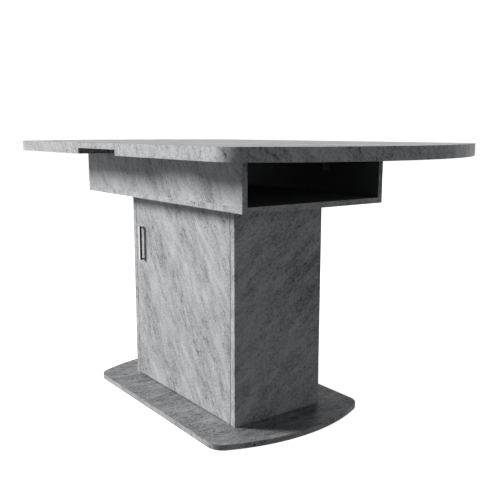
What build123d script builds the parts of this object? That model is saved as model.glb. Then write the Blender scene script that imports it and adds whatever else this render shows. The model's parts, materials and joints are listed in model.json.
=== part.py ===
from build123d import *
import os
from math import sqrt

# Extending pedestal dining table, shown pulled out with its insert leaf in place.
# +X runs along the extending length, -Y is the cabinet door's side and +Z is up.
# The origin is on the floor, under the middle of the table. All sizes are in millimetres.

os.makedirs("parts", exist_ok=True)

# ---------------------------------------------------------------- driving dimensions
overall_height = 760.0
board = 15.0  # melamine boards of the top, box, base, door and cabinet
end_panel = 18.0  # the column's two end panels
band = 0.8  # edge band on the curved edges, the door and the insert
ease = 0.5  # rounding of a board's edges
lift_gap = 0.6  # gap between boards that slide or lift apart
fit = 0.05  # clearance round a screw, a dowel or a pivot pin

top_width = 785.0
open_length = 1444.0
insert_width = 220.0
top_end_radius = 613.0
top_corner_radius = 76.0
rim_strip = 80.0  # width of the strips that double the leaf's edge

base_length = 788.0
base_width = 504.0
base_end_radius = 533.0
base_corner_radius = 48.0
glide_height = 1.0
glide_radius = 10.0

column_length = 548.0
column_depth = 296.0
inner_setback = 28.0  # cabinet boards stand this far behind the column's front
shelf_height = 310.0

box_length = 838.0
box_width = 458.0
box_underside = 603.0
box_rim_gap = 6.0  # from the box's side panels up to the leaves

door_side_gap = 2.0
door_end_gap = 3.0
pivot_edge = 17.0  # pivot pin's centre to the door's hinge edge
pivot_radius = 2.5
pivot_length = 11.5
hinge_plate = 1.5
bush_radius = 4.0
bush_flange_radius = 6.0
bush_flange = 1.2
bush_depth = 11.0

handle_x = -212.0
handle_middle = 449.5
handle_length = 105.0
handle_width = 8.0
handle_depth = 7.5
handle_reach = 14.7  # from the door's face to the front of the handle
handle_leg = 6.0
handle_rounding = 0.8

runner = 18.0  # square bar
runner_outer_row = 195.0  # right leaf's runners, each side of the middle
runner_inner_row = 170.0  # left leaf's runners, each side of the middle
runner_tip = 380.0
runner_play = 0.3
guide_x = 225.0
guide_length = 30.0
guide_wall = 6.0
guide_flange_drop = 23.0
extra_travel = 30.0  # how far a leaf slides out past its place in the open top
stop_margin = 1.0
stop_plate = 3.0
stop_size = 22.0
inner_packer = (120.0, 175.0)
outer_packer = (355.0, 380.0)

wood_screw_head = 4.5
wood_screw_shank = 2.25
small_screw_head = 3.5
small_screw_shank = 1.75
dowel_radius = 4.0
dowel_length = 30.0
dowel_in_panel = 12.0
pilot_depth = 12.0  # holes for small screws
base_screw_length = 45.0
mount_screw_length = 25.0
floor_screw_length = 45.0
guide_screw_length = 17.0
insert_screw_length = 30.0
stop_screw_length = 18.0
hinge_screw_length = 13.0
catch_screw_length = 22.0
handle_screw_length = 23.0
handle_screw_radius = 1.5
leaf_screw_cover = 5.0  # thickness left above the tips of the runner screws

shelf_pin_radius = 2.5
shelf_pin_length = 18.0
shelf_play = 0.5
shelf_setback = 10.0
catch_width = 13.0
catch_height = 45.0
catch_middle_z = 462.5
catch_gap = 1.5  # between the closed door and the catch
catch_inset = 4.0  # screws' centre behind the cabinet's front
strike_thickness = 1.2
strike_edge = 3.0
cleat_length = 190.0
cleat_rows = (160.0, 205.0)

# ---------------------------------------------------------------- levels and faces worked out from them
leaf_underside = overall_height - 2 * board
board_underside = overall_height - board
base_top = glide_height + board
box_floor_top = box_underside + board
box_top = leaf_underside - box_rim_gap

leaf_inner_x = insert_width / 2 + lift_gap
leaf_tip_x = open_length / 2
base_tip_x = base_length / 2

column_x = column_length / 2
column_y = column_depth / 2
cabinet_x = column_x - end_panel
cabinet_back_y = column_y - board
cabinet_front_y = -column_y + inner_setback
cabinet_top_underside = box_underside - board

box_x = box_length / 2
box_y = box_width / 2
niche_y = box_y - board
side_panel_y = box_y - board / 2

door_x = cabinet_x - door_side_gap
door_front_y = -column_y
door_back_y = door_front_y + board
door_middle_y = door_front_y + board / 2
door_bottom = base_top + door_end_gap
door_top = box_underside - door_end_gap
pivot_x = door_x - pivot_edge
hinge_back_y = cabinet_front_y - 1.5
hinge_screw_y = hinge_back_y - 5

guide_top = leaf_underside - 0.7
runner_top = leaf_underside - 6.0
runner_bottom = runner_top - runner
guide_bottom = runner_bottom - 3.0
runner_inner_end = guide_x + guide_length / 2 + extra_travel + stop_margin

# ---------------------------------------------------------------- directions that a screw or a dowel points in
UP = (0, 0, 0)
DOWN = (180, 0, 0)
TO_FRONT = (90, 0, 0)
TO_BACK = (-90, 0, 0)
TO_RIGHT = (0, 90, 0)
TO_LEFT = (0, -90, 0)
ON_FACE = (Align.CENTER, Align.CENTER, Align.MIN)
BEHIND_FACE = (Align.CENTER, Align.CENTER, Align.MAX)

# ---------------------------------------------------------------- where the fasteners stand
end_panel_middle = column_x - end_panel / 2
glide_points = [(x, y, 0) for x in (-320, 320) for y in (-150, 150)] + [(0, -215, 0), (0, 215, 0)]
base_screw_points = [(x, y, glide_height) for x in (-end_panel_middle, end_panel_middle)
                     for y in (-100, 0, 100)]
box_mount_points = [(x, y, cabinet_top_underside) for x in (-180, 0, 180) for y in (-80, 90)]
floor_screw_points = [(x, y, box_underside) for x in (-360, -120, 120, 360)
                      for y in (-side_panel_y, side_panel_y)]
board_dowel_y = (-80, 80)
board_dowel_points = [(y, z) for y in board_dowel_y
                      for z in (base_top + board / 2, box_underside - board / 2)]
back_dowel_points = [(cabinet_back_y + board / 2, z) for z in (160, 440)]
shelf_pin_points = [(y, shelf_height - shelf_pin_radius) for y in (-80, 90)]
guide_screw_z = guide_bottom - 12.0
guide_screw_x = [x + dx for x in (-guide_x, guide_x) for dx in (-8, 8)]
handle_screw_z = [handle_middle + side * (handle_length - handle_leg) / 2 for side in (-1, 1)]
cleat_middle_y = sum(cleat_rows) / 2
insert_screw_points = [(x, y) for x in (-60, 60) for y in (-cleat_middle_y, cleat_middle_y)]
catch_z = (catch_middle_z - catch_height / 2, catch_middle_z + catch_height / 2)
catch_screw_z = (catch_z[0] + 8, catch_z[1] - 8)
catch_screw_y = cabinet_front_y + catch_inset


def turned(points, direction):
    """The same points, each with the local +Z turned to the given direction."""
    return [Location(point, direction) for point in points]


def slab(x, y, z, mode=Mode.ADD):
    """A block between a low and a high limit on each axis."""
    with Locations(((x[0] + x[1]) / 2, (y[0] + y[1]) / 2, (z[0] + z[1]) / 2)):
        Box(x[1] - x[0], y[1] - y[0], z[1] - z[0], mode=mode)


def eased_slab(x, y, z):
    """A board with all its edges lightly rounded."""
    slab(x, y, z)
    fillet(edges(), ease)


def wood_screw(length, head=wood_screw_head, shank=wood_screw_shank):
    """Countersunk screw with a crosshead recess, from its head at the location along +Z."""
    Cone(head, shank, head - shank, align=ON_FACE)
    Cylinder(shank, length, align=ON_FACE)
    Box(head, 0.9, 1.4, align=ON_FACE, mode=Mode.SUBTRACT)
    Box(0.9, head, 1.4, align=ON_FACE, mode=Mode.SUBTRACT)


def screw_hole(length, head=wood_screw_head, shank=wood_screw_shank):
    """The countersunk hole that such a screw fills."""
    Cone(head + fit, shank + fit, head - shank, align=ON_FACE, mode=Mode.SUBTRACT)
    Cylinder(shank + fit, length + fit, align=ON_FACE, mode=Mode.SUBTRACT)


def round_hole(radius, depth):
    """A plain blind hole from the location along +Z."""
    Cylinder(radius, depth, align=ON_FACE, mode=Mode.SUBTRACT)


def capped_screw(length, head_height, radius=small_screw_shank, head=small_screw_head):
    """A small screw whose flat head stands proud behind the location, with its shank along +Z."""
    Cylinder(radius, length, align=ON_FACE)
    Cylinder(head, head_height, align=BEHIND_FACE)


def bowed_end(inner_x, tip_x, width, end_radius, corner_radius):
    """Outline with straight sides and inner end, and a bowed outer end with rounded corners."""
    half = width / 2
    shoulder_x = tip_x - end_radius + sqrt(end_radius**2 - half**2)
    with BuildLine() as outline:
        Line((shoulder_x, half), (inner_x, half))
        Line((inner_x, half), (inner_x, -half))
        Line((inner_x, -half), (shoulder_x, -half))
        ThreePointArc((shoulder_x, -half), (tip_x, 0), (shoulder_x, half))
    make_face(outline.edges())
    fillet(vertices().sort_by(Axis.X)[-2:], corner_radius)


def leaf_outline():
    bowed_end(leaf_inner_x, leaf_tip_x, top_width, top_end_radius, top_corner_radius)


def base_outline():
    bowed_end(0, base_tip_x, base_width, base_end_radius, base_corner_radius)
    mirror(about=Plane.YZ)


def eased_band(draw_outline, bottom, height):
    """A band round a board: its outer edges are lightly rounded and it is open inside."""
    with BuildSketch(Plane.XY.offset(bottom)) as full:
        draw_outline()
    extrude(full.sketch, amount=height)
    fillet(edges().filter_by(Axis.Z, reverse=True), ease)
    with BuildSketch(Plane.XY.offset(bottom)) as inside:
        draw_outline()
        offset(amount=-band, mode=Mode.REPLACE)
    extrude(inside.sketch, amount=height, mode=Mode.SUBTRACT)


def save(builder, name):
    """Labels a finished sub-part and writes it to its own file."""
    builder.part.label = name
    export_step(builder.part, f"parts/{name}.step")


def save_both_sides(builder, name):
    """Writes the right leaf's sub-part, and its mirror image as the left leaf's."""
    save(builder, f"right_{name}")
    with BuildPart() as mirrored:
        mirror(builder.part, about=Plane.YZ)
    save(mirrored, f"left_{name}")


# ================================================================ base
with BuildPart() as base_plate:
    with BuildSketch(Plane.XY.offset(glide_height)):
        base_outline()
        offset(amount=-band, mode=Mode.REPLACE)
    extrude(amount=board)
    with Locations(*turned(base_screw_points, UP)):
        screw_hole(base_screw_length)
    with Locations(Location((pivot_x, hinge_screw_y, base_top), DOWN)):
        round_hole(small_screw_shank + fit, pilot_depth)
save(base_plate, "base_plate")

with BuildPart() as base_edge_band:
    eased_band(base_outline, glide_height, board)
save(base_edge_band, "base_edge_band")

with BuildPart() as base_glides:
    with Locations(*glide_points):
        Cylinder(glide_radius, glide_height, align=ON_FACE)
save(base_glides, "base_glides")

with BuildPart() as base_screws:
    with Locations(*turned(base_screw_points, UP)):
        wood_screw(base_screw_length)
save(base_screws, "base_screws")

# ================================================================ column
def end_panel_holes(side):
    """Holes of one end panel: base screws, dowels and shelf pins. The inner face looks to the middle."""
    inner_x = side * cabinet_x
    outwards = TO_RIGHT if side > 0 else TO_LEFT
    with Locations(*turned(base_screw_points, UP)):
        screw_hole(base_screw_length)
    with Locations(*turned([(inner_x, y, z) for y, z in board_dowel_points + back_dowel_points], outwards)):
        round_hole(dowel_radius + fit, dowel_in_panel + fit)
    with Locations(*turned([(inner_x, y, z) for y, z in shelf_pin_points], outwards)):
        round_hole(shelf_pin_radius + fit, shelf_pin_length / 2 + 1)


with BuildPart() as column_right_panel:
    eased_slab((cabinet_x, column_x), (-column_y, column_y), (base_top, box_underside))
    end_panel_holes(1)
save(column_right_panel, "column_right_panel")

with BuildPart() as column_left_panel:
    eased_slab((-column_x, -cabinet_x), (-column_y, column_y), (base_top, box_underside))
    end_panel_holes(-1)
    with Locations(*turned([(-cabinet_x, catch_screw_y, z) for z in catch_screw_z], TO_LEFT)):
        round_hole(small_screw_shank + fit, catch_screw_length - catch_width + 1)
save(column_left_panel, "column_left_panel")

with BuildPart() as column_back_panel:
    slab((-cabinet_x, cabinet_x), (cabinet_back_y, column_y), (base_top, box_underside))
    for side, inwards in ((-1, TO_RIGHT), (1, TO_LEFT)):
        with Locations(*turned([(side * cabinet_x, y, z) for y, z in back_dowel_points], inwards)):
            round_hole(dowel_radius + fit, dowel_length - dowel_in_panel + fit)
save(column_back_panel, "column_back_panel")


def cabinet_board(bottom):
    """A horizontal board between the end panels, with dowel holes in its ends."""
    slab((-cabinet_x, cabinet_x), (cabinet_front_y, cabinet_back_y), (bottom, bottom + board))
    for side, inwards in ((-1, TO_RIGHT), (1, TO_LEFT)):
        ends = [(side * cabinet_x, y, bottom + board / 2) for y in board_dowel_y]
        with Locations(*turned(ends, inwards)):
            round_hole(dowel_radius + fit, dowel_length - dowel_in_panel + fit)


with BuildPart() as cabinet_bottom:
    cabinet_board(base_top)
save(cabinet_bottom, "cabinet_bottom")

with BuildPart() as cabinet_top:
    cabinet_board(cabinet_top_underside)
    with Locations(*turned(box_mount_points, UP)):
        screw_hole(mount_screw_length)
save(cabinet_top, "cabinet_top")

with BuildPart() as column_dowels:
    for side, outwards in ((-1, TO_LEFT), (1, TO_RIGHT)):
        start_x = side * (cabinet_x + dowel_in_panel - dowel_length)
        points = [(start_x, y, z) for y, z in board_dowel_points + back_dowel_points]
        with Locations(*turned(points, outwards)):
            Cylinder(dowel_radius, dowel_length, align=ON_FACE)
save(column_dowels, "column_dowels")

with BuildPart() as cabinet_shelf:
    shelf_x = cabinet_x - shelf_play
    eased_slab((-shelf_x, shelf_x), (cabinet_front_y + shelf_setback, cabinet_back_y - shelf_play),
               (shelf_height, shelf_height + board))
save(cabinet_shelf, "cabinet_shelf")

with BuildPart() as shelf_pins:
    for side, outwards in ((-1, TO_LEFT), (1, TO_RIGHT)):
        points = [(side * (cabinet_x - shelf_pin_length / 2), y, z) for y, z in shelf_pin_points]
        with Locations(*turned(points, outwards)):
            Cylinder(shelf_pin_radius, shelf_pin_length, align=ON_FACE)
save(shelf_pins, "shelf_pins")

with BuildPart() as box_mount_screws:
    with Locations(*turned(box_mount_points, UP)):
        wood_screw(mount_screw_length)
save(box_mount_screws, "box_mount_screws")

# ================================================================ door and its pivots
def door_slab(inset):
    """The door's full thickness, drawn from the front and inset on all four edges."""
    with BuildSketch(Plane.XZ.offset(-door_back_y)) as outline:
        with Locations((0, (door_bottom + door_top) / 2)):
            Rectangle(2 * (door_x - inset), door_top - door_bottom - 2 * inset)
    extrude(outline.sketch, amount=board)


def door_bush_holes():
    """Blind holes for the pivot bushes in the door's bottom and top edges."""
    with Locations(Location((pivot_x, door_middle_y, door_bottom), UP),
                   Location((pivot_x, door_middle_y, door_top), DOWN)):
        round_hole(bush_radius + fit, bush_depth + fit)


with BuildPart() as door_panel:
    door_slab(band)
    door_bush_holes()
    with Locations(*turned([(handle_x, door_back_y, z) for z in handle_screw_z], TO_FRONT)):
        round_hole(handle_screw_radius + fit, board)
save(door_panel, "door_panel")

with BuildPart() as door_edge_band:
    door_slab(0)
    fillet(edges().filter_by(Axis.Y, reverse=True), ease)
    with BuildSketch(Plane.XZ.offset(-door_back_y)):
        with Locations((0, (door_bottom + door_top) / 2)):
            Rectangle(2 * (door_x - band), door_top - door_bottom - 2 * band)
    extrude(amount=board, mode=Mode.SUBTRACT)
    door_bush_holes()
save(door_edge_band, "door_edge_band")

with BuildPart() as door_bushes:
    for z, direction in ((door_bottom, UP), (door_top, DOWN)):
        with Locations(Location((pivot_x, door_middle_y, z), direction)):
            Cylinder(bush_radius, bush_depth, align=ON_FACE)
            Cylinder(bush_flange_radius, bush_flange, align=BEHIND_FACE)
            Cylinder(pivot_radius + fit, 4 * bush_depth, mode=Mode.SUBTRACT)
save(door_bushes, "door_bushes")


def pivot_hinge(face_z, direction):
    """A flat plate fixed on a board's face, with a pin that stands into the door's edge."""
    front_lap = 5.0
    plate_width = 16.0
    middle_y = (hinge_back_y + door_middle_y - front_lap) / 2
    with Locations(Location((pivot_x, middle_y, face_z), direction)):
        Box(plate_width, hinge_back_y - door_middle_y + front_lap, hinge_plate, align=ON_FACE)
    with Locations(Location((pivot_x, door_middle_y, face_z), direction)):
        Cylinder(pivot_radius, hinge_plate + pivot_length, align=ON_FACE)
    with Locations(Location((pivot_x, hinge_screw_y, face_z), direction)):
        round_hole(small_screw_shank + fit, hinge_plate)


with BuildPart() as hinge_lower:
    pivot_hinge(base_top, UP)
save(hinge_lower, "hinge_lower")

with BuildPart() as hinge_upper:
    pivot_hinge(box_underside, DOWN)
save(hinge_upper, "hinge_upper")

with BuildPart() as hinge_screws:
    with Locations(Location((pivot_x, hinge_screw_y, base_top + hinge_plate), DOWN),
                   Location((pivot_x, hinge_screw_y, box_underside - hinge_plate), UP)):
        capped_screw(hinge_screw_length, 1.0)
save(hinge_screws, "hinge_screws")

with BuildPart() as door_handle:
    handle_y = (door_front_y - handle_reach, door_front_y - handle_reach + handle_depth)
    handle_z = (handle_middle - handle_length / 2, handle_middle + handle_length / 2)
    handle_sides = (handle_x - handle_width / 2, handle_x + handle_width / 2)
    slab(handle_sides, (handle_y[0], door_front_y), handle_z)
    slab((handle_x - handle_width, handle_x + handle_width), (handle_y[1], door_front_y),
         (handle_z[0] + handle_leg, handle_z[1] - handle_leg), mode=Mode.SUBTRACT)
    fillet(faces().sort_by(Axis.Y)[0].edges(), handle_rounding)
    with Locations(*turned([(handle_x, door_front_y, z) for z in handle_screw_z], TO_FRONT)):
        round_hole(handle_screw_radius + fit, handle_screw_length - board + 2)
save(door_handle, "door_handle")

with BuildPart() as handle_screws:
    with Locations(*turned([(handle_x, door_back_y, z) for z in handle_screw_z], TO_FRONT)):
        capped_screw(handle_screw_length, 2.0, handle_screw_radius, 3.0)
save(handle_screws, "handle_screws")

with BuildPart() as magnet_catch:
    slab((-cabinet_x, -cabinet_x + catch_width), (door_back_y + catch_gap, catch_screw_y + catch_inset),
         catch_z)
    fillet(edges().filter_by(Axis.Z), catch_gap)
    with Locations(*turned([(-cabinet_x + catch_width, catch_screw_y, z) for z in catch_screw_z], TO_LEFT)):
        round_hole(small_screw_shank + fit, catch_width)
save(magnet_catch, "magnet_catch")

with BuildPart() as catch_screws:
    with Locations(*turned([(-cabinet_x + catch_width, catch_screw_y, z) for z in catch_screw_z], TO_LEFT)):
        capped_screw(catch_screw_length, 1.5)
save(catch_screws, "catch_screws")

with BuildPart() as strike_plate:
    slab((-cabinet_x + strike_edge, -cabinet_x + catch_width), (door_back_y, door_back_y + strike_thickness),
         catch_screw_z)
save(strike_plate, "strike_plate")

# ================================================================ box under the top, open at both ends
with BuildPart() as box_floor:
    eased_slab((-box_x, box_x), (-box_y, box_y), (box_underside, box_floor_top))
    with Locations(*turned(floor_screw_points, UP)):
        screw_hole(floor_screw_length)
    with Locations(*turned(box_mount_points, UP)):
        screw_hole(mount_screw_length)
    with Locations(Location((pivot_x, hinge_screw_y, box_underside), UP)):
        round_hole(small_screw_shank + fit, pilot_depth)
save(box_floor, "box_floor")


def box_side_panel(side):
    """One long side of the box, standing on the floor board."""
    outer, inner = side * box_y, side * niche_y
    outwards = TO_BACK if side > 0 else TO_FRONT
    eased_slab((-box_x, box_x), (min(outer, inner), max(outer, inner)), (box_floor_top, box_top))
    with Locations(*turned(floor_screw_points, UP)):
        screw_hole(floor_screw_length)
    with Locations(*turned([(x, inner, guide_screw_z) for x in guide_screw_x], outwards)):
        round_hole(small_screw_shank + fit, pilot_depth)


with BuildPart() as box_front_panel:
    box_side_panel(-1)
save(box_front_panel, "box_front_panel")

with BuildPart() as box_back_panel:
    box_side_panel(1)
save(box_back_panel, "box_back_panel")

with BuildPart() as box_floor_screws:
    with Locations(*turned(floor_screw_points, UP)):
        wood_screw(floor_screw_length)
save(box_floor_screws, "box_floor_screws")

# Each guide is one moulding with two square channels, one for a runner of each leaf.
with BuildPart() as runner_guides:
    for side in (-1, 1):
        near, far = side * niche_y, side * (runner_inner_row - runner / 2 - guide_wall)
        for x in (-guide_x, guide_x):
            ends = (x - guide_length / 2, x + guide_length / 2)
            slab(ends, (min(near, far), max(near, far)), (guide_bottom, guide_top))
            flange_y = (near, near - side * guide_wall)
            slab(ends, (min(flange_y), max(flange_y)), (guide_bottom - guide_flange_drop, guide_bottom))
            for row in (runner_inner_row, runner_outer_row):
                channel = runner / 2 + runner_play
                slab((x - guide_length, x + guide_length), (side * row - channel, side * row + channel),
                     (runner_bottom - runner_play, runner_top + runner_play), mode=Mode.SUBTRACT)
        heads = [(x, near - side * guide_wall, guide_screw_z) for x in guide_screw_x]
        with Locations(*turned(heads, TO_BACK if side > 0 else TO_FRONT)):
            screw_hole(guide_screw_length, small_screw_head, small_screw_shank)
save(runner_guides, "runner_guides")

with BuildPart() as guide_screws:
    for side in (-1, 1):
        heads = [(x, side * (niche_y - guide_wall), guide_screw_z) for x in guide_screw_x]
        with Locations(*turned(heads, TO_BACK if side > 0 else TO_FRONT)):
            wood_screw(guide_screw_length, small_screw_head, small_screw_shank)
save(guide_screws, "guide_screws")

# ================================================================ leaves, drawn for the right one and mirrored
def runner_screw_points(row):
    """Screw heads in a right-hand runner's underside: (point, length) at each packer."""
    inner_x, outer_x = sum(inner_packer) / 2, sum(outer_packer) / 2
    return [((inner_x, row, runner_bottom), board_underside - leaf_screw_cover - runner_bottom),
            ((outer_x, row, runner_bottom), overall_height - leaf_screw_cover - runner_bottom)]


def runner_screw_holes(row):
    for side in (-1, 1):
        for point, length in runner_screw_points(side * row):
            with Locations(Location(point, UP)):
                screw_hole(length)


def leaf_board(row):
    """The leaf's top board, inside its edge band, with the screw holes for its own runners' row."""
    with BuildSketch(Plane.XY.offset(board_underside)) as outline:
        leaf_outline()
        offset(amount=-band, mode=Mode.REPLACE)
    extrude(outline.sketch, amount=board)
    runner_screw_holes(row)


def leaf_doublers(row):
    """Four strips under the board's edges that double its thickness, a hair apart from each other."""
    joint = 0.3
    window_y = top_width / 2 - rim_strip
    window_end_x = leaf_tip_x - 1.5 * rim_strip
    with BuildSketch(Plane.XY.offset(leaf_underside)) as strips:
        leaf_outline()
        offset(amount=-band, mode=Mode.REPLACE)
        with Locations(((leaf_inner_x + rim_strip + window_end_x) / 2, 0)):
            Rectangle(window_end_x - leaf_inner_x - rim_strip, 2 * window_y, mode=Mode.SUBTRACT)
        with Locations((leaf_tip_x / 2, -window_y), (leaf_tip_x / 2, window_y)):
            Rectangle(2 * leaf_tip_x, joint, mode=Mode.SUBTRACT)
    extrude(strips.sketch, amount=board)
    runner_screw_holes(row)


def leaf_edge_band():
    """The band round the whole leaf, as tall as the board and its doubling strips together."""
    eased_band(leaf_outline, leaf_underside, 2 * board)


def leaf_runner(row):
    """A square bar that carries the leaf and slides in the guides."""
    slab((-runner_inner_end, runner_tip), (row - runner / 2, row + runner / 2), (runner_bottom, runner_top))
    chamfer(edges().filter_by(Axis.X), 1)
    for point, length in runner_screw_points(row):
        with Locations(Location(point, UP)):
            screw_hole(length)
    with Locations(Location((-runner_inner_end, row, (runner_bottom + runner_top) / 2), TO_RIGHT)):
        round_hole(small_screw_shank + fit, stop_screw_length - stop_plate + 1)


def leaf_packers(row):
    """Blocks between the runners and the leaf: a thin one under the rim, a tall one under the board."""
    for side in (-1, 1):
        across = (side * row - runner / 2, side * row + runner / 2)
        slab(inner_packer, across, (runner_top, leaf_underside))
        slab(outer_packer, across, (runner_top, board_underside))
    runner_screw_holes(row)


def leaf_runner_screws(row):
    for side in (-1, 1):
        for point, length in runner_screw_points(side * row):
            with Locations(Location(point, UP)):
                wood_screw(length)


def leaf_runner_stops(row):
    """Plates on the runners' inner ends, which meet the guides before a runner pulls out."""
    middle_z = (runner_bottom + runner_top) / 2
    for side in (-1, 1):
        across = (side * row - stop_size / 2, side * row + stop_size / 2)
        slab((-runner_inner_end - stop_plate, -runner_inner_end), across,
             (middle_z - stop_size / 2, middle_z + stop_size / 2))
        with Locations(Location((-runner_inner_end - stop_plate, side * row, middle_z), TO_RIGHT)):
            round_hole(small_screw_shank + fit, stop_plate)


def leaf_stop_screws(row):
    middle_z = (runner_bottom + runner_top) / 2
    for side in (-1, 1):
        with Locations(Location((-runner_inner_end - stop_plate, side * row, middle_z), TO_RIGHT)):
            capped_screw(stop_screw_length, 1.5)


leaf_pieces = {
    "leaf_board": leaf_board,
    "leaf_doublers": leaf_doublers,
    "leaf_packers": leaf_packers,
    "runner_screws": leaf_runner_screws,
    "runner_stops": leaf_runner_stops,
    "stop_screws": leaf_stop_screws,
}

with BuildPart() as leaf_band:
    leaf_edge_band()
save_both_sides(leaf_band, "leaf_edge_band")

for piece_name, draw in leaf_pieces.items():
    with BuildPart() as right_piece:
        draw(runner_outer_row)
    save(right_piece, f"right_{piece_name}")
    with BuildPart() as left_drawn_right:
        draw(runner_inner_row)
    with BuildPart() as left_piece:
        mirror(left_drawn_right.part, about=Plane.YZ)
    save(left_piece, f"left_{piece_name}")

for place, side in (("front", -1), ("back", 1)):
    with BuildPart() as right_runner:
        leaf_runner(side * runner_outer_row)
    save(right_runner, f"right_runner_{place}")
    with BuildPart() as left_runner_drawn_right:
        leaf_runner(side * runner_inner_row)
    with BuildPart() as left_runner:
        mirror(left_runner_drawn_right.part, about=Plane.YZ)
    save(left_runner, f"left_runner_{place}")

# ================================================================ insert leaf
def insert_outline():
    Rectangle(insert_width, top_width)


with BuildPart() as insert_board:
    with BuildSketch(Plane.XY.offset(board_underside)):
        insert_outline()
        offset(amount=-band, mode=Mode.REPLACE)
    extrude(amount=board)
    with Locations(*turned([(x, y, board_underside) for x, y in insert_screw_points], UP)):
        round_hole(small_screw_shank + fit, pilot_depth)
save(insert_board, "insert_board")

with BuildPart() as insert_edge_band:
    eased_band(insert_outline, board_underside, board)
save(insert_edge_band, "insert_edge_band")

cleat_bottom = runner_top + lift_gap
with BuildPart() as insert_cleats:
    for side in (-1, 1):
        across = [side * row for row in cleat_rows]
        slab((-cleat_length / 2, cleat_length / 2), (min(across), max(across)),
             (cleat_bottom, board_underside))
    with Locations(*turned([(x, y, cleat_bottom) for x, y in insert_screw_points], UP)):
        screw_hole(insert_screw_length, small_screw_head, small_screw_shank)
save(insert_cleats, "insert_cleats")

with BuildPart() as insert_screws:
    with Locations(*turned([(x, y, cleat_bottom) for x, y in insert_screw_points], UP)):
        wood_screw(insert_screw_length, small_screw_head, small_screw_shank)
save(insert_screws, "insert_screws")
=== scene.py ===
import json
import math

import bpy
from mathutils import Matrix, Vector


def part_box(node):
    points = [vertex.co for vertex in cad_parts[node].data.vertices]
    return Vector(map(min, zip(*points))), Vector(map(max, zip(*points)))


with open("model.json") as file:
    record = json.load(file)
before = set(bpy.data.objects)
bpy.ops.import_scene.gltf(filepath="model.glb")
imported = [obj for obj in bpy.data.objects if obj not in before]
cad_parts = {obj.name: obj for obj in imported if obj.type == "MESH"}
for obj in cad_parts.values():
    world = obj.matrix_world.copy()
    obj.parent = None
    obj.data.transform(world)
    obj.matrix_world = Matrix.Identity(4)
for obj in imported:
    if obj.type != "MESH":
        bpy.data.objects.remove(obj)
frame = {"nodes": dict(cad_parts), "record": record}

# Extending pedestal table in light grey concrete decor. Metres throughout; +X runs along the top's length, -Y
# is the door's side and +Z is up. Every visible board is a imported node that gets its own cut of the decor.
scene = bpy.context.scene
nodes = frame["nodes"]


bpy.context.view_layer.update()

# ---------------------------------------------------------------- camera
CAMERA_PLACE = (1.6739, -1.1448, 0.7876)
CAMERA_YAW = 53.91  # degrees from +Y towards -X
CAMERA_PITCH = -9.76
FOCAL_LENGTH = 49.61
SENSOR_WIDTH = 36.0  # millimetres, as the focal length is
SHIFT = (0.0162, 0.0012)
FARTHEST_SEEN = 60.0


def make_camera():
    data = bpy.data.cameras.new("camera")
    data.lens = FOCAL_LENGTH
    data.sensor_width = SENSOR_WIDTH
    data.shift_x, data.shift_y = SHIFT
    data.clip_end = FARTHEST_SEEN
    camera = bpy.data.objects.new("camera", data)
    camera.location = CAMERA_PLACE
    camera.rotation_euler = (math.radians(90 + CAMERA_PITCH), 0, math.radians(CAMERA_YAW))
    scene.collection.objects.link(camera)
    scene.camera = camera


# ---------------------------------------------------------------- node helpers
def add_node(tree, kind, **inputs):
    """A shader node with some of its inputs set by name."""
    node = tree.nodes.new(kind)
    for name, value in inputs.items():
        node.inputs[name.replace("_", " ")].default_value = value
    return node


def math_node(tree, operation, a, b=0.0):
    """The result of one math operation on sockets or numbers."""
    node = tree.nodes.new("ShaderNodeMath")
    node.operation = operation
    for socket, value in zip(node.inputs, (a, b)):
        if isinstance(value, (int, float)):
            socket.default_value = value
        else:
            tree.links.new(value, socket)
    return node.outputs[0]


def range_node(tree, value, low, high, to_low=0.0, to_high=1.0, smooth=False):
    """The value's range from low to high carried over to another range, clamped."""
    node = add_node(tree, "ShaderNodeMapRange", From_Min=low, From_Max=high, To_Min=to_low, To_Max=to_high)
    if smooth:
        node.interpolation_type = "SMOOTHSTEP"
    tree.links.new(value, node.inputs["Value"])
    return node.outputs[0]


def mixed_shader(tree, chooser, first, second):
    """The first shader where the chooser is zero, the second where it is one."""
    node = add_node(tree, "ShaderNodeMixShader")
    for source, socket in zip((chooser, first, second), node.inputs):
        tree.links.new(source, socket)
    return node.outputs[0]


# ---------------------------------------------------------------- light and stage
COOL_WHITE = (0.955, 0.98, 1)
REFLECTED_WHITE = (0.97, 0.985, 1)
KEY_AZIMUTH = 47.0  # degrees from +Y towards +X that the light travels
KEY_ELEVATION = 19.5
KEY_STRENGTH = 3.85
KEY_SOFTNESS = 14.0  # degrees across
FILL_AZIMUTH = -90.0
FILL_ELEVATION = 7.0
FILL_STRENGTH = 0.37
FILL_SOFTNESS = 36.0
LIGHT_DISTANCE = 3.0


def sun(name, azimuth, elevation, strength, softness, color=(1, 1, 1)):
    """A soft sun whose light travels towards azimuth, coming down at the given elevation."""
    data = bpy.data.lights.new(name, "SUN")
    data.energy = strength
    data.angle = math.radians(softness)
    data.color = color
    light = bpy.data.objects.new(name, data)
    a, e = math.radians(azimuth), math.radians(elevation)
    travel = Vector((math.sin(a) * math.cos(e), math.cos(a) * math.cos(e), -math.sin(e)))
    light.rotation_euler = travel.to_track_quat("-Z", "Y").to_euler()
    light.location = -LIGHT_DISTANCE * travel
    scene.collection.objects.link(light)


def make_lights():
    sun("key", KEY_AZIMUTH, KEY_ELEVATION, KEY_STRENGTH, KEY_SOFTNESS)
    sun("end_fill", FILL_AZIMUTH, FILL_ELEVATION, FILL_STRENGTH, FILL_SOFTNESS, COOL_WHITE)


BACKDROP_STRENGTH = 1.05
AMBIENT_FROM_BELOW = 0.08
AMBIENT_FROM_ABOVE = 0.02
GLOW_BELOW_HORIZON = 1.05
GLOW_ABOVE_HORIZON = 1.82
GLOW_LOST_OVERHEAD = 1.3
DARK_SIDE_SHARE = 0.06

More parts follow.
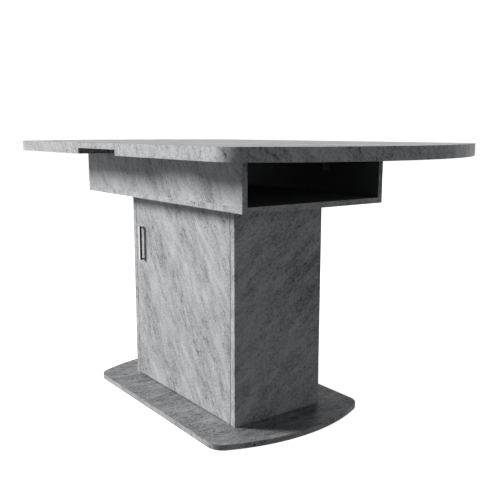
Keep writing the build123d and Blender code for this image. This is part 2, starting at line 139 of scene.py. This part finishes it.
# Where the studio changes, as the Z or X of a unit direction. Z is 0 at the horizon and 1 straight up.
AMBIENT_TURN = (-0.1, 0.1)
GLOW_RISE = (-0.05, 0.02)
GLOW_FALL = (0.08, 0.45)
DARK_SIDE_TURN = (0.1, 0.5)


def ambient_light(tree, height):
    """Weak light from all round, stronger from below than from above."""
    shader = add_node(tree, "ShaderNodeBackground", Color=(*COOL_WHITE, 1))
    strength = range_node(tree, height, *AMBIENT_TURN, AMBIENT_FROM_BELOW, AMBIENT_FROM_ABOVE)
    tree.links.new(strength, shader.inputs["Strength"])
    return shader.outputs[0]


def reflected_studio(tree, height, along):
    """What shines in glossy faces: a bright horizon, darker overhead and dark past the table's +X end."""
    shader = add_node(tree, "ShaderNodeBackground", Color=(*REFLECTED_WHITE, 1))
    glow = range_node(tree, height, *GLOW_RISE, GLOW_BELOW_HORIZON, GLOW_ABOVE_HORIZON)
    fall_off = range_node(tree, height, *GLOW_FALL, 0.0, GLOW_LOST_OVERHEAD)
    dark_side = range_node(tree, along, *DARK_SIDE_TURN, 1.0, DARK_SIDE_SHARE)
    horizon = math_node(tree, "SUBTRACT", glow, fall_off)
    tree.links.new(math_node(tree, "MULTIPLY", horizon, dark_side), shader.inputs["Strength"])
    return shader.outputs[0]


def make_world():
    """A studio with a white backdrop, and light and reflections of its own."""
    world = bpy.data.worlds.new("studio")
    scene.world = world
    world.use_nodes = True
    tree = world.node_tree
    tree.nodes.clear()
    axes = add_node(tree, "ShaderNodeSeparateXYZ")
    tree.links.new(add_node(tree, "ShaderNodeTexCoord").outputs["Generated"], axes.inputs[0])
    height, along = axes.outputs["Z"], axes.outputs["X"]
    rays = add_node(tree, "ShaderNodeLightPath").outputs
    backdrop = add_node(tree, "ShaderNodeBackground", Color=(1, 1, 1, 1), Strength=BACKDROP_STRENGTH)
    ambient = ambient_light(tree, height)
    reflected = reflected_studio(tree, height, along)
    around = mixed_shader(tree, rays["Is Glossy Ray"], ambient, reflected)
    seen = mixed_shader(tree, rays["Is Camera Ray"], around, backdrop.outputs[0])
    tree.links.new(seen, add_node(tree, "ShaderNodeOutputWorld").inputs[0])


FLOOR_HALF = 9.0
FLOOR_WHITE = (0.9, 0.9, 0.9, 1)
FLOOR_GLOW = 1.0


def make_floor():
    """A plain white studio floor that glows as white as the backdrop, so shadows hardly show on it."""
    mesh = bpy.data.meshes.new("floor")
    h = FLOOR_HALF
    mesh.from_pydata([(-h, -h, 0), (h, -h, 0), (h, h, 0), (-h, h, 0)], [], [(0, 1, 2, 3)])
    floor = bpy.data.objects.new("floor", mesh)
    scene.collection.objects.link(floor)
    paint = bpy.data.materials.new("floor_white")
    paint.use_nodes = True
    shader = paint.node_tree.nodes["Principled BSDF"]
    shader.inputs["Base Color"].default_value = FLOOR_WHITE
    shader.inputs["Roughness"].default_value = 0.8
    shader.inputs["Specular IOR Level"].default_value = 0.0
    shader.inputs["Emission Color"].default_value = (1, 1, 1, 1)
    shader.inputs["Emission Strength"].default_value = FLOOR_GLOW
    mesh.materials.append(paint)
    floor.visible_diffuse = False
    floor.visible_glossy = False


# ---------------------------------------------------------------- paint
class Paint:
    """A principled material with small helpers for building its node tree."""

    def __init__(self, name, metallic=0.0, specular=0.5, roughness=0.5):
        self.material = bpy.data.materials.new(name)
        self.material.use_nodes = True
        self.tree = self.material.node_tree
        self.shader = self.tree.nodes["Principled BSDF"]
        self.shader.inputs["Roughness"].default_value = roughness
        self.shader.inputs["Metallic"].default_value = metallic
        self.shader.inputs["Specular IOR Level"].default_value = specular
        self.place = add_node(self.tree, "ShaderNodeTexCoord").outputs["Object"]

    def link(self, source, target):
        self.tree.links.new(source, target)

    def math(self, operation, a, b=0.0):
        return math_node(self.tree, operation, a, b)

    def ranged(self, value, low, high, to_low=0.0, to_high=1.0, smooth=False):
        return range_node(self.tree, value, low, high, to_low, to_high, smooth)

    def axes(self, vector):
        """The X, Y and Z of a vector."""
        node = add_node(self.tree, "ShaderNodeSeparateXYZ")
        self.link(vector, node.inputs[0])
        return node.outputs

    def stretched(self, direction, stretch, offset):
        """Coordinates whose features run along a direction, longer than wide by the stretch."""
        mapping = self.tree.nodes.new("ShaderNodeMapping")
        mapping.vector_type = "TEXTURE"
        mapping.inputs["Location"].default_value = offset
        mapping.inputs["Rotation"].default_value = Vector(direction).to_track_quat("X", "Z").to_euler()
        mapping.inputs["Scale"].default_value = (stretch, 1, 1)
        self.link(self.place, mapping.inputs["Vector"])
        return mapping.outputs[0]

    def noise(self, where, scale, detail=3.0, roughness=0.6, distortion=0.0):
        node = add_node(self.tree, "ShaderNodeTexNoise", Scale=scale, Detail=detail, Roughness=roughness,
                        Distortion=distortion)
        self.link(where, node.inputs["Vector"])
        return node.outputs["Fac"]

    def layer(self, direction, offset, stretch, **noise):
        """Noise whose features run along a direction."""
        return self.noise(self.stretched(direction, stretch, offset), **noise)

    def weighted(self, noise, weight):
        """Noise as a swing about zero."""
        return self.math("MULTIPLY", self.math("SUBTRACT", noise, 0.5), weight)

    def colored(self, value, stops):
        """Base colour from a value, through (position, (r, g, b)) stops."""
        ramp = self.tree.nodes.new("ShaderNodeValToRGB")
        elements = ramp.color_ramp.elements
        while len(elements) < len(stops):
            elements.new(0.5)
        for element, (position, color) in zip(elements, stops):
            element.position = position
            element.color = (*color, 1)
        self.link(value, ramp.inputs[0])
        self.link(ramp.outputs[0], self.shader.inputs["Base Color"])

    def rough(self, value):
        self.link(value, self.shader.inputs["Roughness"])

    def bump(self, height, strength, distance):
        node = add_node(self.tree, "ShaderNodeBump", Strength=strength, Distance=distance)
        self.link(height, node.inputs["Height"])
        self.link(node.outputs[0], self.shader.inputs["Normal"])


# ---------------------------------------------------------------- concrete decor
CONCRETE_DARK = (0.124, 0.127, 0.133)
CONCRETE_MID = (0.398, 0.402, 0.413)
CONCRETE_LIGHT = (0.616, 0.622, 0.638)

# The decor's layers of noise. The stretch is how much longer than wide a feature is.
CLOUDS = {"stretch": 3.6, "scale": 12.0, "detail": 3.0, "roughness": 0.55, "distortion": 0.3}
MOTTLE = {"stretch": 3.2, "scale": 55.0, "detail": 4.0, "roughness": 0.62}
GRAIN = {"stretch": 1.3, "scale": 230.0, "detail": 2.0, "roughness": 0.6}
PITS = {"stretch": 3.2, "scale": 150.0, "detail": 1.0, "roughness": 0.5}
HAIRLINES = {"stretch": 6.0, "scale": 16.0, "detail": 2.0, "roughness": 0.5}
HAIRLINE_PATCHES = {"stretch": 2.0, "scale": 11.0, "detail": 1.0, "roughness": 0.5}

# How much each layer counts in the tone, which runs from 0 for dark to 1 for light.
CLOUD_WEIGHT = 1.15
MOTTLE_WEIGHT = 1.35
GRAIN_WEIGHT = 1.6
PIT_DEPTH = 0.5
HAIRLINE_DEPTH = 0.2
HAIRLINE_WIDTH = 0.012
MIDDLE_TONE = 0.62
PIT_RANGE = (0.61, 0.69)  # the noise from no pit to a full one
PIT_CLOUD_RANGE = (0.6, 0.38)  # from light clouds to the dark ones, where the pits gather
FEWEST_PITS = 0.25
PATCH_RANGE = (0.56, 0.62)
SHINE_RANGE = (0.2, 0.9)  # from the dark tones to the light ones
DARK_ROUGHNESS = 0.54
LIGHT_ROUGHNESS = 0.42
BOARD_SPECULAR = 0.35
BAND_SPECULAR = 0.15
# The shine left where painted shade darkens a board.
PAINTED_SHADE_SPECULAR = 0.05


def inside_mask(paint, low, high):
    """One where |x|, |y| and z all lie between the low and the high corner of a region."""
    x, y, z = paint.axes(paint.place)
    mask = 1.0
    for value, bottom, top in zip((paint.math("ABSOLUTE", x), paint.math("ABSOLUTE", y), z), low, high):
        mask = paint.math("MULTIPLY", mask, paint.math("GREATER_THAN", value, bottom))
        mask = paint.math("MULTIPLY", mask, paint.math("LESS_THAN", value, top))
    return mask


def with_painted_shade(paint, tone, specular, low, high, darkening):
    """The tone with painted shade in a region of it: darker and with less shine."""
    inside = inside_mask(paint, low, high)
    shine = paint.ranged(inside, 0.0, 1.0, specular, PAINTED_SHADE_SPECULAR)
    paint.link(shine, paint.shader.inputs["Specular IOR Level"])
    return paint.math("SUBTRACT", tone, paint.math("MULTIPLY", inside, darkening))


def concrete(name, streak, offset, shade, specular, painted_shade_region):
    """Matt melamine with a printed concrete decor: soft clouds, mottling, fine grain, pits and hairlines; on
    some boards also painted light and painted shade.
    """
    paint = Paint(name, specular=specular)
    clouds = paint.layer(streak, offset, **CLOUDS)
    mottle = paint.layer(streak, offset, **MOTTLE)
    grain = paint.layer(streak, offset, **GRAIN)

    in_clouds = paint.ranged(clouds, *PIT_CLOUD_RANGE, FEWEST_PITS, 1.0)
    pits = paint.ranged(paint.layer(streak, offset, **PITS), *PIT_RANGE, smooth=True)
    pits = paint.math("MULTIPLY", pits, in_clouds)

    off_line = paint.math("ABSOLUTE", paint.math("SUBTRACT", paint.layer(streak, offset, **HAIRLINES), 0.5))
    patches = paint.ranged(paint.layer(streak, offset, **HAIRLINE_PATCHES), *PATCH_RANGE)
    lines = paint.math("MULTIPLY", paint.ranged(off_line, HAIRLINE_WIDTH, 0.0), patches)

    tone = paint.weighted(clouds, CLOUD_WEIGHT)
    tone = paint.math("ADD", tone, paint.weighted(mottle, MOTTLE_WEIGHT))
    tone = paint.math("ADD", tone, paint.weighted(grain, GRAIN_WEIGHT))
    # On the top's boards and edge bands the shade shift is painted sheen; on the base plate it is painted
    # shade.
    tone = paint.math("ADD", tone, MIDDLE_TONE + shade)
    tone = paint.math("SUBTRACT", tone, paint.math("MULTIPLY", pits, PIT_DEPTH))
    tone = paint.math("SUBTRACT", tone, paint.math("MULTIPLY", lines, HAIRLINE_DEPTH))
    # Painted shade: the given region is darkened and dulled where it lies in shade.
    if painted_shade_region:
        tone = with_painted_shade(paint, tone, specular, *painted_shade_region)
    paint.colored(tone, ((0.0, CONCRETE_DARK), (0.5, CONCRETE_MID), (1.0, CONCRETE_LIGHT)))
    paint.rough(paint.ranged(tone, *SHINE_RANGE, DARK_ROUGHNESS, LIGHT_ROUGHNESS))
    paint.bump(paint.math("SUBTRACT", grain, pits), strength=0.2, distance=0.0003)
    return paint.material


# ---------------------------------------------------------------- hardware finishes
def zinc_steel():
    paint = Paint("zinc_steel", metallic=1.0)
    patches = paint.noise(paint.place, scale=260.0)
    paint.colored(patches, ((0.3, (0.45, 0.45, 0.44)), (0.7, (0.68, 0.68, 0.66))))
    paint.rough(paint.ranged(patches, 0.3, 0.7, 0.28, 0.45))
    return paint.material


def runner_metal():
    paint = Paint("runner_metal", metallic=1.0)
    drawn = paint.layer((1, 0, 0), (0, 0, 0), stretch=60.0, scale=900.0, detail=2.0)
    paint.colored(drawn, ((0.3, (0.045, 0.045, 0.048)), (0.7, (0.085, 0.085, 0.09))))
    paint.rough(paint.ranged(drawn, 0.3, 0.7, 0.34, 0.48))
    paint.bump(drawn, strength=0.15, distance=0.0001)
    return paint.material


def black_nylon():
    paint = Paint("black_nylon", specular=0.4)
    texture = paint.noise(paint.place, scale=1100.0, detail=2.0)
    flow = paint.noise(paint.place, scale=45.0, detail=2.0, roughness=0.5)
    paint.colored(flow, ((0.3, (0.018, 0.018, 0.019)), (0.7, (0.032, 0.032, 0.034))))
    paint.rough(paint.ranged(texture, 0.3, 0.7, 0.44, 0.58))
    paint.bump(texture, strength=0.3, distance=0.0001)
    return paint.material


def beech():
    paint = Paint("beech", specular=0.3, roughness=0.6)
    along = paint.stretched((1, 0, 0), 9.0, (0.1, 0.2, 0.3))
    figure = paint.noise(along, scale=60.0, detail=4.0, distortion=0.6)
    flecks = paint.ranged(paint.noise(along, scale=420.0, detail=1.0, roughness=0.5), 0.62, 0.7)
    tone = paint.math("SUBTRACT", figure, paint.math("MULTIPLY", flecks, 0.2))
    paint.colored(tone, ((0.25, (0.36, 0.21, 0.11)), (0.75, (0.62, 0.43, 0.26))))
    paint.bump(tone, strength=0.2, distance=0.0003)
    return paint.material


# Painted light on the handle, set by which way each face turns: light on the bar's face and legs, near black
# on its sides.
HANDLE_BAR_DEPTH = 0.0076  # from the bar's face to just past its back, where the legs begin
BAR_FACE_PAINTED_HIGHLIGHT = 0.75
BAR_FACE_TURN = (-0.7, -0.95)  # the normal's Y across the bar's rounded edge, from its side to its face


def chrome_with_painted_light():
    """Satin chrome with painted light: a painted highlight on the bar's face and on the legs, and painted
    shade, near black, round the bar's sides.
    """
    paint = Paint("handle_chrome", metallic=1.0)
    brushed = paint.layer((0, 0, 1), (0, 0, 0), stretch=40.0, scale=1500.0, detail=2.0)
    facing = paint.axes(add_node(paint.tree, "ShaderNodeTexCoord").outputs["Normal"])
    # Painted highlight on the bar's face, painted shade on its sides.
    face = paint.ranged(facing["Y"], *BAR_FACE_TURN, 0.0, BAR_FACE_PAINTED_HIGHLIGHT)
    bar_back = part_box("door_handle")[0][1] + HANDLE_BAR_DEPTH
    # Painted light on the legs, as bright as the door they reflect.
    legs = paint.math("GREATER_THAN", paint.axes(paint.place)["Y"], bar_back)
    tone = paint.math("ADD", paint.math("MAXIMUM", face, legs), paint.ranged(brushed, 0.3, 0.7, 0.03, 0.09))
    paint.colored(tone, ((0.0, (0.0, 0.0, 0.0)), (1.0, (1.0, 1.0, 1.0))))
    paint.rough(paint.ranged(brushed, 0.3, 0.7, 0.14, 0.24))
    return paint.material


# ---------------------------------------------------------------- dressing
# Which way the decor's streaks run, and on which boards.
DOWN_THE_FRONT = (0.53, 0.0, -0.85)
UP_THE_END = (0.0, 0.78, 0.63)
ACROSS_THE_TOP = (0.14, 0.99, 0.0)
ROUND_THE_RIM = (0.5, 0.45, -0.74)
BOARDS_BY_STREAK = {
    DOWN_THE_FRONT: (
        "door_panel", "door_edge_band", "column_back_panel", "box_front_panel", "box_back_panel",
    ),
    UP_THE_END: ("column_left_panel", "column_right_panel"),
    ACROSS_THE_TOP: (
        "base_plate", "box_floor", "cabinet_bottom", "cabinet_top", "cabinet_shelf", "insert_board",
        "left_leaf_board", "right_leaf_board", "left_leaf_doublers", "right_leaf_doublers",
    ),
    ROUND_THE_RIM: ("base_edge_band", "left_leaf_edge_band", "right_leaf_edge_band", "insert_edge_band"),
}
DECOR_STREAKS = {name: streak for streak, names in BOARDS_BY_STREAK.items() for name in names}
# Tone shifts per board. The top's boards are lighter to stand in for the sheen on the top: painted sheen. The
# edge bands are lighter, partly their own tone and partly painted sheen. The base plate is darker because the
# top above shades it: painted shade.
TOP_PAINTED_SHEEN = 0.14
RIM_TONE_AND_PAINTED_SHEEN = 0.17
BASE_PAINTED_SHADE = -0.15
PAINTED_LIGHT_AND_SHADE_BY_BOARD = {
    "left_leaf_board": TOP_PAINTED_SHEEN,
    "right_leaf_board": TOP_PAINTED_SHEEN,
    "insert_board": TOP_PAINTED_SHEEN,
    "left_leaf_edge_band": RIM_TONE_AND_PAINTED_SHEEN,
    "right_leaf_edge_band": RIM_TONE_AND_PAINTED_SHEEN,
    "insert_edge_band": RIM_TONE_AND_PAINTED_SHEEN,
    "base_plate": BASE_PAINTED_SHADE,
}
DECOR_STEP = (0.37, 0.53, 0.29)  # from one board's cut of the decor to the next
# The guide screws sit in the box's dark niche and get black nylon's near black colour, so they show no glint
# there: painted shade.
BLACK_IN_PAINTED_SHADE = ("guide_screws",)
HARDWARE = {
    "zinc_steel": zinc_steel,
    "runner_metal": runner_metal,
    "black_nylon": black_nylon,
    "hardwood": beech,
    "handle_chrome": chrome_with_painted_light,
}
SKIN = 0.001  # how far a region of painted shade reaches past the face it covers
BEYOND = 1.0  # farther out than any part of the table
# Painted shade: how much the box's niche and the edges at the top's joints are darkened where they lie in
# shade.
NICHE_PAINTED_SHADE = 1.4
JOINT_PAINTED_SHADE = 0.5


def painted_shade_regions():
    """Where painted shade darkens boards: inside the box's niche, and on the edges that meet across the top's
    joints, which lie in shade.
    Each region is its low corner, its high corner and its darkening."""
    floor_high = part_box("box_floor")[1]
    front_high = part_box("box_front_panel")[1]
    leaf_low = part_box("right_leaf_edge_band")[0]
    insert_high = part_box("insert_edge_band")[1]
    niche_low = (-BEYOND, -BEYOND, floor_high[2] - SKIN)
    niche_high = (floor_high[0], -front_high[1] + SKIN, front_high[2])
    everywhere_high = (BEYOND, BEYOND, BEYOND)
    niche_shade = (niche_low, niche_high, NICHE_PAINTED_SHADE)
    leaf_edge = ((-BEYOND, -BEYOND, 0.0), (leaf_low[0] + SKIN, BEYOND, BEYOND), JOINT_PAINTED_SHADE)
    insert_edges = ((insert_high[0] - SKIN, -BEYOND, 0.0), everywhere_high, JOINT_PAINTED_SHADE)
    regions = {name: niche_shade for name in ("box_front_panel", "box_back_panel", "box_floor")}
    regions.update({name: leaf_edge for name in ("left_leaf_edge_band", "right_leaf_edge_band")})
    regions["insert_edge_band"] = insert_edges
    return regions


def dress_nodes():
    """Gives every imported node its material: a cut of the decor of its own, or its hardware finish."""
    slots = {part["node"]: part["material_slot"] for part in frame["record"]["subparts"]}
    finishes = {slot: make() for slot, make in HARDWARE.items()}
    dark = painted_shade_regions()
    for count, (name, node) in enumerate(sorted(nodes.items())):
        if name in DECOR_STREAKS:
            offset = tuple(step * count for step in DECOR_STEP)
            shade = PAINTED_LIGHT_AND_SHADE_BY_BOARD.get(name, 0.0)
            specular = BAND_SPECULAR if name.endswith("edge_band") else BOARD_SPECULAR
            streak = DECOR_STREAKS[name]
            material = concrete(f"concrete_{name}", streak, offset, shade, specular, dark.get(name))
        elif name in BLACK_IN_PAINTED_SHADE:
            material = finishes["black_nylon"]
        else:
            material = finishes[slots[name]]
        node.data.materials.clear()
        node.data.materials.append(material)


# ---------------------------------------------------------------- build
scene.view_settings.view_transform = "Standard"
make_camera()
make_world()
make_lights()
make_floor()
dress_nodes()
